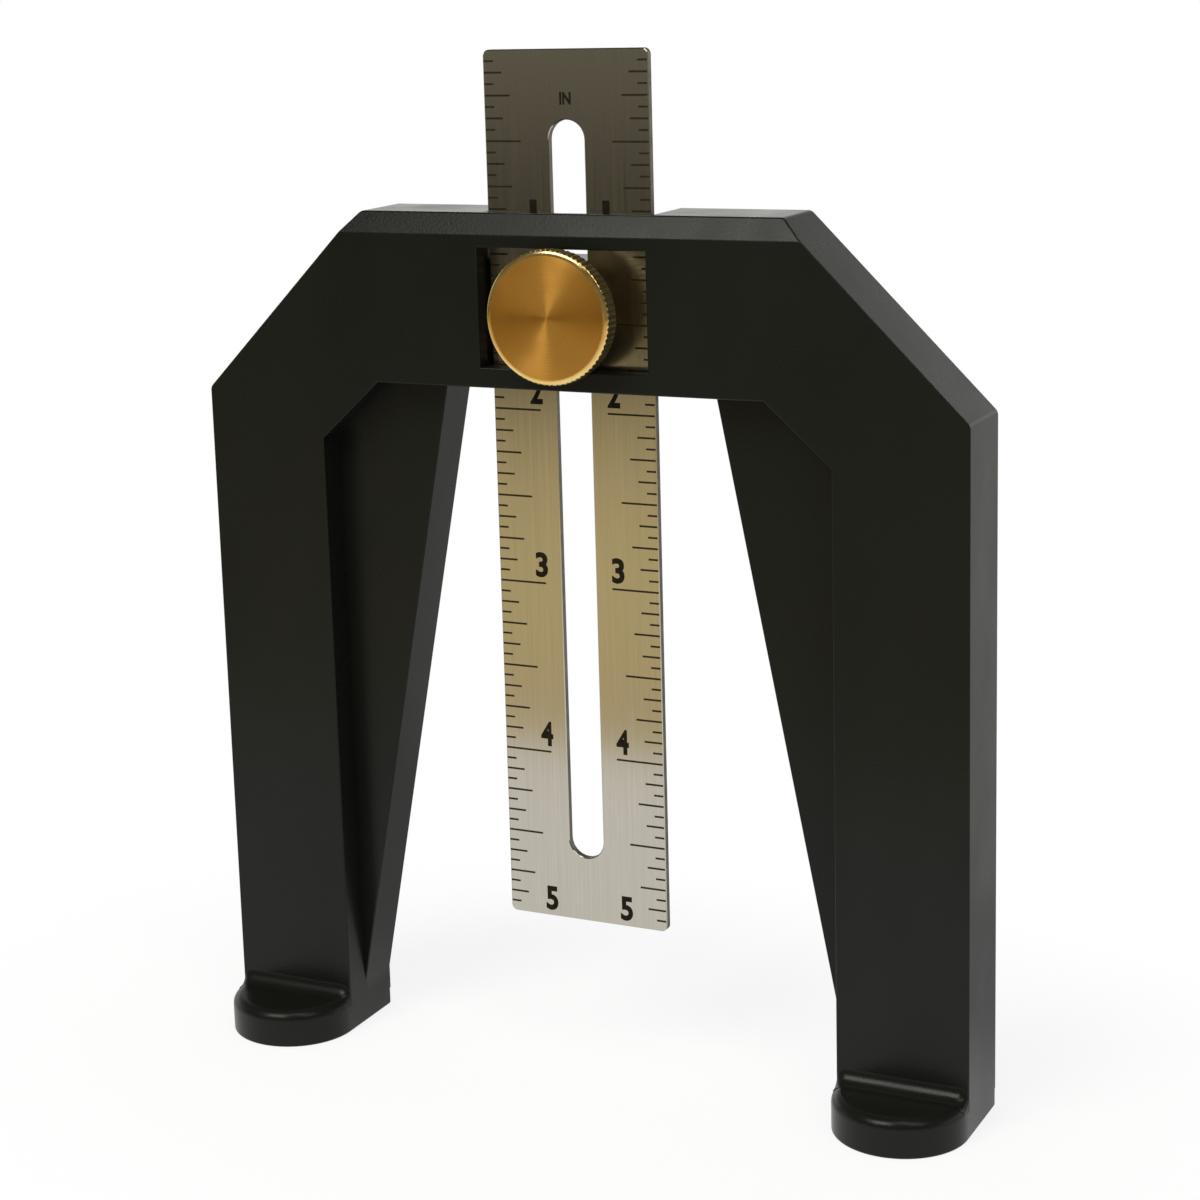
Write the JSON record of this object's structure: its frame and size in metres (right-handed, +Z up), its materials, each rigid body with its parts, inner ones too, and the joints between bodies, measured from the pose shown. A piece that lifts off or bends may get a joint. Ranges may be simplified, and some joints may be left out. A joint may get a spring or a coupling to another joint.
{
  "type": "depth gauge",
  "caption": "Self-standing depth gauge: a moulded arch on round-nosed feet carries a slotted steel rule, which slides up and down and is locked by a knurled brass thumbscrew.",
  "frame": {"origin": "on the standing surface, at the centre of the footprint", "axes": "+Z up, X across the legs, -Y towards the marked side of the rule and the thumbscrew"},
  "size_m": [0.1188, 0.0226, 0.1496],
  "materials": {
    "black_plastic": "satin moulded plastic with a faint grain",
    "satin_steel": "satin, brushed along its length, black marks",
    "spun_brass": "spun face, bright rim, straight knurl",
    "zinc_steel": "bright zinc plate",
    "washer_brass": "plain stamped brass",
    "insert_brass": "turned brass",
    "nickel": "nickel plate"
  },
  "bodies": {
    "frame": {"arch_body": "black_plastic", "threaded_insert": "insert_brass", "left_magnet": "nickel", "right_magnet": "nickel"},
    "sliding_rule": {"rule": "satin_steel"},
    "washer": {"clamp_washer": "washer_brass"},
    "thumbscrew": {"thumbscrew_head": "spun_brass", "thumbscrew_stud": "zinc_steel"}
  },
  "joints": [
    {"name": "rule_slide", "type": "slide", "parent": "frame", "child": "sliding_rule", "axis": [0, 0, 1], "range_m": [-0.0225, 0.078]},
    {"name": "screw_travel", "type": "slide", "parent": "frame", "child": "washer", "axis": [0, -1, 0], "range_m": [0, 0.0016]},
    {"name": "screw_turn", "type": "hinge", "parent": "washer", "child": "thumbscrew", "pos_m": [0, 0, 0.1132], "axis": [0, -1, 0], "range_deg": [0, 720.1]}
  ],
  "couplings": [
    {"joint": "screw_turn", "follows": "screw_travel", "rad_per_m": 7854}
  ]
}
